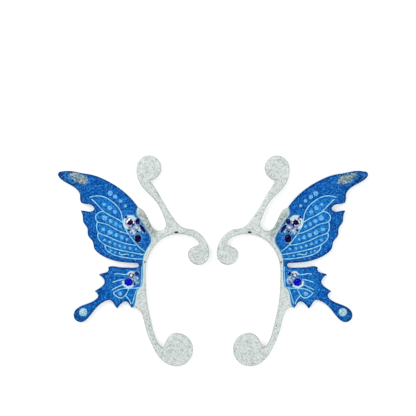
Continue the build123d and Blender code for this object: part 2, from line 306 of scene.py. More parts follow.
def glitter_base(graph: Graph, finish: Glitter):
    """Colour and tilt of fine glitter.

    Args:
        graph: the material's graph.
        finish: the glitter to make.

    Returns:
        The flake tone from 0 to 1, the colour, the spark mask and the leaning normal.
    """
    coarse = graph.flakes(finish.grain)
    fine = graph.flakes(finish.fine_grain)
    big, small = graph.channels(coarse), graph.channels(fine)
    cloud = graph.noise(7.0)
    tone = graph.math("MULTIPLY_ADD", big[0], 0.55, graph.math("MULTIPLY", small[0], 0.33))
    tone = graph.math("MULTIPLY_ADD", cloud, 0.12, tone)
    dark = graph.mix(graph.ramp(tone, 0.02, 0.5), finish.deep, finish.body)
    colour = graph.mix(graph.ramp(tone, 0.5, 0.95), dark, finish.bright)
    spark = graph.ramp(small[1], 1 - finish.spark_share, 1 - finish.spark_share * 0.6)
    return tone, colour, spark, graph.leaning(fine, finish.tilt)


def glitter_material(finish: Glitter, tints: WingTints) -> bpy.types.Material:
    """The silver-white glitter resin: painted shade at its rim and in its grooves, darker by the stones, blue at
    the seam.
    """
    graph = Graph(finish.name)
    _, colour, spark, normal = glitter_base(graph, finish)
    colour = graph.mix(spark, colour, finish.spark)
    # painted shade: the silver darkens towards its rounded edges
    rim = graph.math("SUBTRACT", 1.0, graph.ramp(graph.attribute("rim"), 0.05, 0.85))
    colour = graph.mix(graph.math("MULTIPLY", rim, 0.5), colour, finish.deep)
    # painted shade in the groove
    colour = graph.mix(graph.math("MULTIPLY", graph.attribute("groove"), 0.16), colour, finish.deep)
    smoke = graph.math("MULTIPLY", graph.attribute("root"), graph.ramp(graph.noise(1.1, 3.0), 0.25, 0.65))
    colour = graph.mix(graph.math("MULTIPLY", smoke, 0.95), colour, SMOKE)
    colour = graph.mix(graph.math("MULTIPLY", graph.attribute("seam"), 0.7), colour, tints.seam_pale)
    graph.shade(Base_Color=colour, Metallic=finish.metallic, Roughness=finish.roughness, Normal=normal,
                Specular_IOR_Level=finish.gloss, Coat_Weight=finish.coat, Coat_Roughness=0.08)
    return graph.material


def wing_material(finish: Glitter, tints: WingTints) -> bpy.types.Material:
    """The blue glitter resin, with painted shade at its rim, painted light on its side walls, painted shadows
    beside its veins, lighter cells, root and pale tip.
    """
    graph = Graph(finish.name)
    tone, colour, spark, normal = glitter_base(graph, finish)
    coarse = graph.channels(graph.flakes(1.15))
    tip = graph.mix(graph.ramp(coarse[0], 0.45, 0.75), tints.tip_dark, tints.tip_light)
    colour = graph.mix(graph.math("MULTIPLY", graph.attribute("tip"), 0.75), colour, tip)
    cell = graph.mix(graph.ramp(tone, 0.1, 0.9), tints.cell_deep, tints.cell_bright)
    colour = graph.mix(graph.attribute("cell"), colour, cell)
    root = graph.mix(graph.ramp(tone, 0.1, 0.9), tints.root, tints.cell_bright)
    colour = graph.mix(graph.math("MULTIPLY", graph.attribute("root"), 0.7), colour, root)
    pool = graph.mix(graph.ramp(graph.noise(1.5, 3.0), 0.4, 0.62), tints.gap, tints.halo)
    colour = graph.mix(graph.math("MULTIPLY", graph.attribute("pool"), 0.9), colour, pool)
    shaded = graph.math("MULTIPLY", graph.attribute("shadow"), graph.ramp(coarse[1], -0.2, 0.6))
    colour = graph.mix(graph.math("MULTIPLY", shaded, 0.85), colour, tints.shadow)
    # painted shade: the wing darkens towards its rounded edges
    rim = graph.math("SUBTRACT", 1.0, graph.ramp(graph.attribute("rim"), 0.3, 1.4))
    colour = graph.mix(graph.math("MULTIPLY", rim, 0.8), colour, tints.rim)
    # painted light: the side walls and the very edge are lit pale teal
    wall = graph.math("SUBTRACT", 1.0, graph.ramp(graph.attribute("rim"), 0.02, 0.22))
    colour = graph.mix(graph.math("MULTIPLY", wall, 0.65), colour, tints.wall)
    colour = graph.mix(graph.math("MULTIPLY", graph.attribute("halo"), 0.9), colour, tints.halo)
    seam = graph.math("MULTIPLY", graph.attribute("seam"), 0.55)
    colour = graph.mix(seam, colour, tints.seam)
    pale = graph.mix(graph.ramp(tone, 0.35, 0.75), tints.tip_blue, tints.tip_pale)
    patchy = graph.ramp(graph.math("ADD", graph.attribute("patch"), graph.math("MULTIPLY", tone, 0.5)), 0.55, 1.05)
    colour = graph.mix(patchy, colour, pale)
    colour = graph.mix(spark, colour, finish.spark)
    graph.shade(Base_Color=colour, Metallic=finish.metallic, Roughness=finish.roughness, Normal=normal,
                Specular_IOR_Level=finish.gloss, Coat_Weight=finish.coat, Coat_Roughness=0.06)
    return graph.material


def cast_material(finish: Cast, halo_colour: Colour | None = None) -> bpy.types.Material:
    """A plain or pearly resin with soft mottling, paler beside the stones if given a colour for that."""
    graph = Graph(finish.name)
    share = graph.ramp(graph.noise(finish.mottle, 3.0), 0.3, 0.7)
    colour = graph.mix(share, finish.shade, finish.colour)
    if halo_colour:
        colour = graph.mix(graph.attribute("halo"), colour, halo_colour)
    graph.shade(Base_Color=colour, Metallic=finish.metallic,
                Roughness=finish.roughness, Coat_Weight=finish.coat, Coat_Roughness=0.05,
                Specular_IOR_Level=finish.gloss)
    return graph.material


def gem_material(finish: Gem) -> bpy.types.Material:
    """A cut stone: each facet takes its own tone, the stone's colour or a painted reflection, with faint painted
    glints, under a bright polish.
    """
    graph = Graph(finish.name)
    tone = graph.add("ShaderNodeAttribute", attribute_name="tone").outputs["Color"]
    flecks = graph.channels(graph.flakes(0.5))
    # painted glints: faint pale flecks on the facets
    gleam = graph.math("MULTIPLY", graph.ramp(flecks[0], 0.8, 1.0), 0.08)
    colour = graph.mix(gleam, tone, ICE)
    graph.shade(Base_Color=colour, Metallic=0.55, Roughness=0.14, Coat_Weight=0.08, Coat_Roughness=0.02,
                Specular_IOR_Level=0.05)
    return graph.material


# ------------------------------------------------------------------ outlines
def merged_copy(node: str) -> bmesh.types.BMesh:
    """The mesh of a CAD node as a new bmesh with its split corners joined."""
    mesh = bmesh.new()
    mesh.from_mesh(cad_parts[node].data)
    bmesh.ops.remove_doubles(mesh, verts=mesh.verts, dist=1e-6)
    return mesh


def flat_loops(node: str, height: float | None = None) -> Loops:
    """Closed outlines of a CAD node's flat faces at one height.

    Args:
        node: name of the CAD node.
        height: height of the faces, or None for the lowest.

    Returns:
        One array of points, in millimetres, for each outline.
    """
    mesh = merged_copy(node)
    level = min(v.co.z for v in mesh.verts) if height is None else height * MM
    faces = {f for f in mesh.faces if all(abs(v.co.z - level) < 2e-6 for v in f.verts)}
    rims = [e for e in mesh.edges if sum(f in faces for f in e.link_faces) == 1]
    following: dict[int, list] = {}
    for edge in rims:
        for vert in edge.verts:
            following.setdefault(vert.index, []).append(edge)
    loops, used = [], set()
    for edge in rims:
        if edge in used:
            continue
        start, vert, points = edge.verts[0], edge.verts[1], []
        used.add(edge)
        points.append(start.co.xy / MM)
        while vert is not start:
            points.append(vert.co.xy / MM)
            onward = [e for e in following[vert.index] if e not in used]
            if not onward:
                break
            used.add(onward[0])
            vert = onward[0].other_vert(vert)
        loops.append(np.array(points))
    mesh.free()
    return loops


def resampled(loop: np.ndarray, step: float, corner: float = 28.0) -> np.ndarray:
    """The outline with evenly spaced points, its corners kept.

    Args:
        loop: points of a closed outline.
        step: wanted spacing.
        corner: turns sharper than this, in degrees, are kept.
    """
    before = loop - np.roll(loop, 1, 0)
    after = np.roll(loop, -1, 0) - loop
    turn = np.arctan2(before[:, 0] * after[:, 1] - before[:, 1] * after[:, 0], (before * after).sum(1))
    corners = np.nonzero(np.abs(turn) > math.radians(corner))[0]
    if len(corners) == 0:
        corners = np.array([0])
    result = []
    for first, last in zip(corners, np.roll(corners, -1)):
        count = (last - first) % len(loop) or len(loop)
        run = loop[(first + np.arange(count + 1)) % len(loop)]
        along = np.concatenate([[0], np.cumsum(np.linalg.norm(np.diff(run, axis=0), axis=1))])
        pieces = max(1, round(along[-1] / step))
        at = np.linspace(0, along[-1], pieces + 1)[:-1]
        result.append(np.stack([np.interp(at, along, run[:, 0]), np.interp(at, along, run[:, 1])], 1))
    return np.concatenate(result)


def distance(points: np.ndarray, loops: Loops) -> np.ndarray:
    """The distance from each point to the nearest outline."""
    starts = np.concatenate(loops)
    ends = np.concatenate([np.roll(loop, -1, 0) for loop in loops])
    span = ends - starts
    length = np.maximum((span ** 2).sum(1), 1e-12)
    nearest = np.full(len(points), 1e9)
    for first in range(0, len(points), 2000):
        some = points[first:first + 2000, None, :] - starts[None]
        share = np.clip((some * span).sum(2) / length, 0, 1)
        gap = some - share[..., None] * span
        nearest[first:first + 2000] = np.sqrt((gap ** 2).sum(2).min(1))
    return nearest


def inside(points: np.ndarray, loops: Loops) -> np.ndarray:
    """Whether each point lies inside the outlines, holes left out."""
    starts = np.concatenate(loops)
    ends = np.concatenate([np.roll(loop, -1, 0) for loop in loops])
    crossed = np.zeros(len(points), int)
    for first in range(0, len(points), 2000):
        x, y = points[first:first + 2000, 0, None], points[first:first + 2000, 1, None]
        spans = (starts[:, 1] > y) != (ends[:, 1] > y)
        rise = np.where(ends[:, 1] == starts[:, 1], 1e-12, ends[:, 1] - starts[:, 1])
        cross = starts[:, 0] + (y - starts[:, 1]) * (ends[:, 0] - starts[:, 0]) / rise
        crossed[first:first + 2000] = (spans & (x < cross)).sum(1)
    return crossed % 2 == 1


def smooth(value: np.ndarray, low: float, high: float) -> np.ndarray:
    """value mapped smoothly from low..high to 0..1."""
    share = np.clip((value - low) / (high - low), 0, 1)
    return share * share * (3 - 2 * share)


def hex_grid(low: np.ndarray, high: np.ndarray, step: float) -> np.ndarray:
    """Points of a triangular grid over a box."""
    rows = np.arange(low[1], high[1], step * math.sqrt(3) / 2)
    points = [np.stack([np.arange(low[0] + (i % 2) * step / 2, high[0], step),
                        np.full(len(np.arange(low[0] + (i % 2) * step / 2, high[0], step)), y)], 1)
              for i, y in enumerate(rows)]
    return np.concatenate(points)


def inward(loop: np.ndarray, loops: Loops) -> np.ndarray:
    """Unit directions into the shape at each point of one of its outlines."""
    along = np.roll(loop, -1, 0) - np.roll(loop, 1, 0)
    normal = np.stack([-along[:, 1], along[:, 0]], 1)
    normal /= np.maximum(np.linalg.norm(normal, axis=1), 1e-9)[:, None]
    return normal if inside(loop + normal * 0.02, loops).mean() > 0.5 else -normal


# ------------------------------------------------------------------ meshes
@dataclass
class Shape:
    """A mesh being made: points in millimetres, faces and one number per point and attribute."""

    points: np.ndarray
    faces: list[tuple[int, ...]]
    marks: dict[str, np.ndarray] = field(default_factory=dict)
    tones: list[Colour] = field(default_factory=list)

    def mark_above(self, level: float, marks: dict[str, np.ndarray]) -> None:
        """Stores numbers for the points above a level, and 0 for the rest, so that the back stays plain."""
        shown = self.points[:, 2] > level
        self.marks |= {name: values * shown for name, values in marks.items()}

    def join(self, other: "Shape") -> "Shape":
        """This shape and another as one."""
        shift = len(self.points)
        faces = self.faces + [tuple(i + shift for i in f) for f in other.faces]
        return Shape(np.concatenate([self.points, other.points]), faces, {}, self.tones + other.tones)

    def make(self, name: str, side: Side, material: bpy.types.Material, flat: bool = False) -> bpy.types.Object:
        """Makes the Blender object, mirrored for the left wing, riding on its wing.

        Args:
            name: name of the piece.
            side: which wing it is on.
            material: its finish.
            flat: whether its faces are shaded flat.

        Returns:
            The new object.
        """
        points = self.points * np.array([side.value, 1, 1]) * MM
        mesh = bpy.data.meshes.new(name)
        mesh.from_pydata(points.tolist(), [], [tuple(map(int, f)) for f in self.faces])
        for mark, values in self.marks.items():
            mesh.attributes.new(mark, "FLOAT", "POINT").data.foreach_set("value", values.astype(np.float32))
        if self.tones:
            tint = mesh.attributes.new("tone", "FLOAT_COLOR", "CORNER")
            corners = [(*tone, 1.0) for tone, face in zip(self.tones, self.faces) for _ in face]
            tint.data.foreach_set("color", np.array(corners, np.float32).ravel())
        mesh.materials.append(material)
        work = bmesh.new()
        work.from_mesh(mesh)
        bmesh.ops.recalc_face_normals(work, faces=work.faces)
        work.to_mesh(mesh)
        work.free()
        mesh.polygons.foreach_set("use_smooth", [not flat] * len(mesh.polygons))
        piece = bpy.data.objects.new(name, mesh)
        bpy.context.scene.collection.objects.link(piece)
        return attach(piece, f"{side.word}_wing")


def triangulated(points: np.ndarray, loops: Loops) -> tuple[np.ndarray, list, dict[int, int]]:
    """Triangles over points, held to outlines whose points come first.

    Returns:
        The points used, the triangles inside the outlines, and where each given point went.
    """
    edges, first = [], 0
    for loop in loops:
        edges += [(first + i, first + (i + 1) % len(loop)) for i in range(len(loop))]
        first += len(loop)
    flat = [Vector((float(x), float(y))) for x, y in points]
    verts, _, faces, origins, _, _ = delaunay_2d_cdt(flat, edges, [], 0, 1e-6)
    used = np.array([tuple(v) for v in verts])
    centres = used[np.array(faces)].mean(1)
    kept = [f for f, keep in zip(faces, inside(centres, loops)) if keep]
    went = {given: i for i, given_by in enumerate(origins) for given in given_by}
    return used, kept, went


@dataclass
class Plate:
    """A flat casting with rounded top edges and slightly eased bottom edges.

    Attributes:
        loops: its outlines, holes included.
        bottom, top: heights of its faces.
        rounding: radius of its top edges.
        step: spacing of its mesh.
        easing: width of the bevel at its back.
        extra: more points that the mesh has to pass through.
    """

    loops: Loops
    bottom: float
    top: float
    rounding: float
    step: float
    easing: float = 0.15
    extra: list[np.ndarray] = field(default_factory=list)
    RINGS = 4

    def build(self, relief=None) -> Shape:
        """Builds the closed mesh.

        Args:
            relief: takes the points of the top face and gives their rise, or None.
        """
        loops = [resampled(loop, self.step) for loop in self.loops]
        rim = np.concatenate(loops)
        rings = []
        for k in range(1, self.RINGS + 1):
            depth = self.rounding * (1 - math.cos(math.pi / 2 * k / self.RINGS))
            ring = np.concatenate([loop + inward(loop, loops) * depth for loop in loops])
            rings.append(ring[(distance(ring, loops) > 0.9 * depth) & inside(ring, loops)])
        grid = hex_grid(rim.min(0), rim.max(0), self.step)
        grid = np.concatenate([grid[inside(grid, loops)], *self.extra])
        grid = grid[distance(grid, loops) > self.rounding + 0.4 * self.step]
        given = np.concatenate([rim, *rings, grid])
        flat, faces, went = triangulated(given, loops)
        depth = distance(flat, loops)
        short = self.rounding - np.minimum(depth, self.rounding)
        rise = np.sqrt(np.maximum(self.rounding ** 2 - short ** 2, 0))
        height = self.top - self.rounding + rise
        if relief is not None:
            height = height + relief(flat)
        top = np.column_stack([flat, height])
        eased = [loop + inward(loop, loops) * self.easing for loop in loops]
        back, back_faces, back_went = triangulated(np.concatenate(eased), eased)
        wall = np.column_stack([rim, np.full(len(rim), self.bottom + self.easing)])
        under = np.column_stack([back, np.full(len(back), self.bottom)])
        low, base = len(top), len(top) + len(wall)
        faces = [tuple(f) for f in faces] + [tuple(i + base for i in f) for f in back_faces]
        first = 0
        for loop in loops:
            for i in range(len(loop)):
                a, b = first + i, first + (i + 1) % len(loop)
                faces.append((went[a], went[b], low + b, low + a))
                faces.append((low + a, low + b, base + back_went[b], base + back_went[a]))
            first += len(loop)
        shape = Shape(np.concatenate([top, wall, under]), faces)
        shape.marks["rim"] = np.concatenate([depth, np.zeros(len(wall)), distance(back, loops)])
        return shape


def parts_of(node: str) -> list[np.ndarray]:
    """The points of each separate solid in a CAD node, in millimetres."""
    mesh = merged_copy(node)
    left, solids = set(mesh.verts), []
    while left:
        stack, members = [left.pop()], []
        while stack:
            vert = stack.pop()
            members.append(vert.co / MM)
            near = {e.other_vert(vert) for e in vert.link_edges} & left
            left -= near
            stack += near
        solids.append(np.array(members))
    mesh.free()
    return solids


def dome(centre: np.ndarray, radius: float, base: float, shoulder: float, top: float) -> Shape:
    """A round cabochon: a short wall up to the shoulder and a smooth crown above it."""
    around, rings = 28, 6
    turn = np.arange(around) * 2 * math.pi / around
    circle = np.column_stack([np.cos(turn), np.sin(turn)])
    layers = [(radius, base), (radius, shoulder)]
    for k in range(1, rings):
        lean = math.pi / 2 * k / rings
        layers.append((radius * math.cos(lean), shoulder + (top - shoulder) * math.sin(lean)))
    points = [np.column_stack([centre + circle * reach, np.full(around, height)]) for reach, height in layers]
    points.append(np.array([[*centre, top]]))
    faces = [tuple(reversed(range(around)))]
    for layer in range(len(layers) - 1):
        for i in range(around):
            a, b = layer * around + i, layer * around + (i + 1) % around
            faces.append((a, b, b + around, a + around))
    last, tip = (len(layers) - 1) * around, len(layers) * around
    faces += [(last + i, last + (i + 1) % around, tip) for i in range(around)]
    return Shape(np.concatenate(points), faces)


def cut_stone(solid: np.ndarray, table: float, gem: Gem, rng: np.random.Generator) -> Shape:
    """A stone with a star, kite and girdle facet cut, on the outline of its CAD solid.

    Args:
        solid: points of the CAD solid.
        table: width of the flat top as a share of the stone's.
        gem: the tones of its facets.
        rng: chooses among them.
    """
    base, top = solid[:, 2].min(), solid[:, 2].max()
    foot = solid[solid[:, 2] < base + 0.01][:, :2]
    centre = (foot.min(0) + foot.max(0)) / 2
    foot = foot[np.argsort(np.arctan2(foot[:, 1] - centre[1], foot[:, 0] - centre[0]))]
    count = len(foot)
    mids = (foot + np.roll(foot, -1, 0)) / 2
    shoulder = base + (top - base) * 0.56
    girdle = np.stack([foot, mids], 1).reshape(-1, 2)
    middle = centre + (foot - centre) * (0.5 + table / 2)
    crown = centre + (mids - centre) * table * 1.04
    heights = [base, shoulder, shoulder + (top - shoulder) * 0.62, top]
    points = np.concatenate([np.column_stack([ring, np.full(len(ring), z)])
                             for ring, z in zip([girdle, girdle, middle, crown], heights)])
    low, rim, mid, cap = 0, 2 * count, 4 * count, 5 * count
    faces = [tuple(reversed(range(2 * count))), tuple(cap + i for i in range(count))]
    for i in range(2 * count):
        j = (i + 1) % (2 * count)
        faces.append((low + i, low + j, rim + j, rim + i))
    for i in range(count):
        j, k = (i + 1) % count, (i - 1) % count
        faces.append((cap + k, mid + i, cap + i))
        faces.append((cap + i, mid + i, rim + 2 * i + 1, mid + j))
        faces.append((mid + i, rim + 2 * i, rim + 2 * i + 1))
        faces.append((mid + i, rim + (2 * i - 1) % (2 * count), rim + 2 * i))
    # each facet takes a tone from the gem: the stone's colour or a painted reflection
    chosen = [gem.tones[rng.integers(len(gem.tones))] for _ in faces]
    chosen[1] = gem.table
    return Shape(points, faces, {}, chosen)


def sliver(centre: np.ndarray, radius: float, height: float, sides: int, rng: np.random.Generator,
           even: bool) -> Shape:
    """A thin flake lying on a face at a height, even like cut glitter or ragged like torn foil."""
    turn = np.sort(rng.random(sides)) * 2 * math.pi if not even else np.arange(sides) * 2 * math.pi / sides
    turn = turn + rng.random() * 2 * math.pi
    reach = radius * (np.ones(sides) if even else 0.55 + 0.45 * rng.random(sides))
    lean = (rng.random(2) - 0.5) * FLAKE_LEAN
    flat = np.column_stack([np.cos(turn), np.sin(turn)]) * reach[:, None]
    rise = height + flat @ lean
    upper = np.column_stack([centre + flat, rise + FLAKE_THICKNESS / 2])
    lower = np.column_stack([centre + flat, rise - FLAKE_THICKNESS / 2])
    faces = [tuple(range(sides)), tuple(sides + i for i in reversed(range(sides)))]
    faces += [(i, sides + i, sides + (i + 1) % sides, (i + 1) % sides) for i in range(sides)]
    return Shape(np.concatenate([upper, lower]), faces)


# ------------------------------------------------------------------ cells between the veins
@dataclass
class CellMap:
    """Which places of a panel its margin can't reach without crossing a vein.

    Attributes:
        panel, veins, frame_loops: outlines of the panel, its veins and the frame beside it.
        pitch: spacing of the map.
        reach: how far the veins' walls are thickened, so that small gaps in them close.
    """

    panel: Loops
    veins: Loops
    frame_loops: Loops
    pitch: float = 0.25
    reach: float = 0.55

    def __post_init__(self) -> None:
        self.low = np.concatenate(self.panel).min(0) - 1
        high = np.concatenate(self.panel).max(0) + 1
        self.size = np.ceil((high - self.low) / self.pitch).astype(int)
        x = self.low[0] + np.arange(self.size[0]) * self.pitch
        y = self.low[1] + np.arange(self.size[1]) * self.pitch
        points = np.stack(np.meshgrid(x, y, indexing="ij"), -1).reshape(-1, 2)
        within = inside(points, self.panel).reshape(self.size)
        wall = (distance(points, self.veins) < self.reach) | inside(points, self.veins)
        rim = (distance(points, self.panel) < 1.0) & (distance(points, self.frame_loops) > 2.0)
        room = within & ~wall.reshape(self.size)
        reached = room & rim.reshape(self.size)
        while True:
            wider = grown(reached) & room
            if (wider == reached).all():
                break
            reached = wider
        cells = room & ~reached
        for _ in range(round((self.reach + 0.3) / self.pitch)):
            cells = grown(cells)
        share = cells.astype(float)
        for _ in range(2):
            share = (share + np.roll(share, 1, 0) + np.roll(share, -1, 0)
                     + np.roll(share, 1, 1) + np.roll(share, -1, 1)) / 5
        self.share = share

    def at(self, points: np.ndarray) -> np.ndarray:
        """The share from 0 to 1 at each point, blended between places of the map."""
        spot = (points - self.low) / self.pitch
        base = np.clip(np.floor(spot).astype(int), 0, self.size - 2)
        part = np.clip(spot - base, 0, 1)
        x, y = base[:, 0], base[:, 1]
        left = self.share[x, y] * (1 - part[:, 1]) + self.share[x, y + 1] * part[:, 1]
        right = self.share[x + 1, y] * (1 - part[:, 1]) + self.share[x + 1, y + 1] * part[:, 1]
        return left * (1 - part[:, 0]) + right * part[:, 0]


def grown(places: np.ndarray) -> np.ndarray:
    """A map of places, each spread to its four neighbours."""
    return (places | np.roll(places, 1, 0) | np.roll(places, -1, 0)
            | np.roll(places, 1, 1) | np.roll(places, -1, 1))


# ------------------------------------------------------------------ sub-assemblies
def heights(node: str) -> tuple[float, float]:
    """The lowest and highest level of a CAD node, in millimetres."""
    low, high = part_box(node)
    return low.z / MM, high.z / MM


def near_stones(points: np.ndarray, names: tuple[str, ...], full: float, none: float) -> np.ndarray:
    """How close each point is to any of some stones: 1 within one distance and 0 past another."""
    share = np.zeros(len(points))
    for name in names:
        for solid in parts_of(f"right_{name}"):
            gap = np.linalg.norm(points - solid[:, :2].mean(0), axis=1)
            share = np.maximum(share, 1 - smooth(gap, full, none))
    return share


def halo(points: np.ndarray) -> np.ndarray:
    """How white each point is with the glue and foil that show on one side of the larger stones."""
    share = np.zeros(len(points))
    for name, facing, half_angle, width in HALOS:
        solid = parts_of(f"right_{name}")[0]
        foot = solid[solid[:, 2] < solid[:, 2].min() + 0.01][:, :2]
        centre = (foot.min(0) + foot.max(0)) / 2
        foot = foot[np.argsort(np.arctan2(foot[:, 1] - centre[1], foot[:, 0] - centre[0]))]
        away = points - centre
        turn = np.degrees(np.arctan2(away[:, 1], away[:, 0])) - facing
        turn = np.abs((turn + 180) % 360 - 180)
        near = 1 - smooth(distance(points, [foot]), 0.45 * width, width)
        share = np.maximum(share, near * (1 - smooth(turn, half_angle - 25, half_angle)))
    return share


@dataclass
class ScrollFrame:
    """The silver scroll with rounded edges and a shallow winding groove."""

    rounding: float = 0.75
    step: float = 0.34
    groove_depth: float = 0.3
    groove_shown: float = 0.13
    groove_soft: float = 0.28

    def build(self, materials: dict[str, bpy.types.Material]) -> None:
        """Makes the frame of both wings."""
        node = "right_scroll_frame"
        bottom, top = heights(node)
        grooves = [g for g in flat_loops(node, top - self.groove_depth)]
        lines = [resampled(loop, self.step) for loop in grooves]
        plate = Plate(flat_loops(node), bottom, top, self.rounding, self.step, extra=lines)

        def relief(points: np.ndarray) -> np.ndarray:
            """How far the groove dips at each point."""
            gap = distance(points, grooves)
            within = inside(points, grooves)
            deep = np.where(within, 0.5 + gap / self.groove_soft / 2, 0.5 - gap / self.groove_soft / 2)
            return -self.groove_shown * smooth(deep, 0.0, 1.0)

        shape = plate.build(relief)
        flat = shape.points[:, :2]
        blue = flat_loops("right_forewing_panel") + flat_loops("right_hindwing_panel")
        shape.mark_above((bottom + top) / 2, {
            # the groove mark carries the painted shade in the groove
            "groove": np.clip(-relief(flat) / self.groove_shown, 0, 1),
            "seam": 1 - smooth(distance(flat, blue), 0.2, 1.3),
            "root": near_stones(flat, ("crystal_stone", "navy_marquise_stone"), 6.0, 10.5),
        })
        for side in Side:
            name = f"{side.word}_scroll_frame"
            piece = shape.make(f"{name}_cast", side, materials["silver"])
            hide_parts(name)


@dataclass
class WingPanel:
    """One lobe of the blue wing and the veins set in it.

    Attributes:
        lobe: forewing or hindwing.
        rounding, step: of the panel's edges and mesh.
        spread: how strongly the pale of the veins spreads where they close no cell.
    """

    lobe: str
    rounding: float = 0.4
    step: float = 0.34
    spread: float = 0.0

    def build(self, materials: dict[str, bpy.types.Material]) -> None:
        """Makes the panel and veins of both wings."""
        node, vein_node = f"right_{self.lobe}_panel", f"right_{self.lobe}_veins"
        outline, veins = flat_loops(node), flat_loops(vein_node)
        frame_loops = flat_loops("right_scroll_frame")
        bottom, top = heights(node)
        top = WING_TOP
        lines = [resampled(loop, self.step) for loop in veins]
        shape = Plate(outline, bottom, top, self.rounding, self.step, extra=lines).build(
            lambda points: -0.12 * (1 - smooth(distance(points, veins), 0.1, 0.8)))
        flat = shape.points[:, :2]
        by_vein = np.where(inside(flat, veins), 0, distance(flat, veins))
        # no painted rim shade or wall light where the panel meets the frame
        shape.marks["rim"] = np.where(distance(flat, frame_loops) < 0.3, 9.0, shape.marks["rim"])
        shape.mark_above((bottom + top) / 2, {
            "cell": np.maximum(CellMap(outline, veins, frame_loops).at(flat),
                               self.spread * (1 - smooth(by_vein, 0.8, 2.6))),
            "shadow": 1 - smooth(by_vein, 0.15, 0.75),
            "root": near_stones(flat, tuple(GEMS), 2.0, 4.6),
            "pool": near_stones(flat, POOL_STONES, 1.6, 3.0),
            "halo": halo(flat),
            "tip": smooth(flat[:, 0], *TIP_REACH),
            "seam": 1 - smooth(distance(flat, frame_loops), 0.1, 0.8),
            "patch": self.near_flakes(flat),
        })
        low, high = heights(vein_node)
        beads = Plate(veins, low, high + VEIN_LIFT, 0.3, 0.24, easing=0.05).build()
        beads.marks["halo"] = halo(beads.points[:, :2])
        for side in Side:
            name = f"{side.word}_{self.lobe}"
            panel = shape.make(f"{name}_cast", side, materials["blue"])
            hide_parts(f"{name}_panel")
            bead = beads.make(f"{name}_vein_beads", side, materials["vein"])
            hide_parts(f"{name}_veins")

    @staticmethod
    def near_flakes(points: np.ndarray) -> np.ndarray:
        """How deep each point lies in the patch of pale flakes, from 0 to 1."""
        low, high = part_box("right_tip_flakes")
        centre = np.array((low + high)[:2]) / 2 / MM
        lean = math.radians(PATCH_TURN)
        axes = np.array([[math.cos(lean), math.sin(lean)], [-math.sin(lean), math.cos(lean)]])
        spot = (points - centre) @ axes.T / np.array(PATCH_REACH)
        return 1 - smooth(np.linalg.norm(spot, axis=1), 0.35, 1.15)


@dataclass
class Cabochons:
    """Domed dots and pearls on the places of a CAD node's solids."""

    node: str
    finish: str
    slot: str
    crown: float = 0.75

    def build(self, materials: dict[str, bpy.types.Material]) -> None:
        """Makes the domes of both wings."""
        shape = None
        for solid in parts_of(f"right_{self.node}"):
            low, high = solid.min(0), solid.max(0)
            radius = (high - low)[0] / 2
            shoulder = WING_TOP + (high[2] - WING_TOP) * (1 - self.crown)
            one = dome((low + high)[:2] / 2, radius, low[2], shoulder, high[2])
            shape = one if shape is None else shape.join(one)
        for side in Side:
            name = f"{side.word}_{self.node}"
            piece = shape.make(f"{name}_domes", side, materials[self.finish])
            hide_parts(name)


@dataclass
class Stones:
    """The cut stones and the thin skirt of glue round each."""

    table: float = 0.55
    skirt: float = 0.2
    skirt_rise: float = 0.12

    def build(self, materials: dict[str, bpy.types.Material]) -> None:
        """Makes the stones of both wings, and their glue."""
        skirts = None
        for name, gem in GEMS.items():
            rng = np.random.default_rng(gem.seed)
            shape = None
            for solid in parts_of(f"right_{name}"):
                one = cut_stone(solid, self.table, gem, rng)
                shape = one if shape is None else shape.join(one)
                skirt = self.skirt_of(solid)
                skirts = skirt if skirts is None else skirts.join(skirt)
            for side in Side:
                node = f"{side.word}_{name}"
                piece = shape.make(f"{node}_cut", side, materials[name], flat=True)
                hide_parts(node)
        for side in Side:
            piece = skirts.make(f"{side.word}_glue_skirts", side, materials["glue"])
            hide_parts(f"{side.word}_stone_glue")

    def skirt_of(self, solid: np.ndarray) -> Shape:
        """The glue that shows round one stone, thickest at its wall."""
        centre = (solid[:, :2].min(0) + solid[:, :2].max(0)) / 2
        foot = solid[solid[:, 2] < solid[:, 2].min() + 0.01][:, :2]
        foot = foot[np.argsort(np.arctan2(foot[:, 1] - centre[1], foot[:, 0] - centre[0]))]
        foot = resampled(foot, 0.25)
        out = -inward(foot, [foot])
        rings = [(0.0, WING_TOP - 0.2), (self.skirt, WING_TOP - 0.2), (self.skirt, WING_TOP + 0.01),
                 (self.skirt * 0.5, WING_TOP + self.skirt_rise * 0.6), (0.0, WING_TOP + self.skirt_rise)]
        count = len(foot)
        points = np.concatenate([np.column_stack([foot + out * reach, np.full(count, z)]) for reach, z in rings])
        faces = []
        for ring in range(len(rings)):
            onward = (ring + 1) % len(rings)
            for i in range(count):
                j = (i + 1) % count
                faces.append((ring * count + i, ring * count + j, onward * count + j, onward * count + i))
        return Shape(points, faces)


@dataclass
class Flakes:
    """Loose flakes in the face of a casting.

    Attributes:
        name: name of the piece.
        outline_of: CAD node whose face they lie in.
        count: how many there are.
        radius: smallest and largest radius.
        finish, slot: their material, and the record's slot, which is not used.
        level: height of the face.
        even: hexagons if true, ragged foil if false.
        patch: whether they keep to the patch near the wing tip.
    """

    name: str
    outline_of: str
    count: int
    radius: tuple[float, float]
    finish: str
    slot: str
    level: float
    even: bool = True
    patch: bool = False
    seed: int = 1

    def build(self, materials: dict[str, bpy.types.Material]) -> None:
        """Scatters the flakes on both wings."""
        rng = np.random.default_rng(self.seed)
        outline = flat_loops(f"right_{self.outline_of}")
        low, high = outline[0].min(0), outline[0].max(0)
        spots = low + rng.random((self.count * 60, 2)) * (high - low)
        spots = spots[inside(spots, outline) & (distance(spots, outline) > self.radius[1] + 0.35)]
        if self.patch:
            spots = spots[WingPanel.near_flakes(spots) > rng.random(len(spots)) * 0.9 + 0.08]
        shape = None
        for spot in spots[:self.count]:
            radius = self.radius[0] + (self.radius[1] - self.radius[0]) * rng.random() ** 2
            sides = 6 if self.even else int(rng.integers(4, 7))
            one = sliver(spot, radius, self.level, sides, rng, self.even)
            shape = one if shape is None else shape.join(one)
        for side in Side:
            piece = shape.make(f"{side.word}_{self.name}", side, materials[self.finish], flat=True)


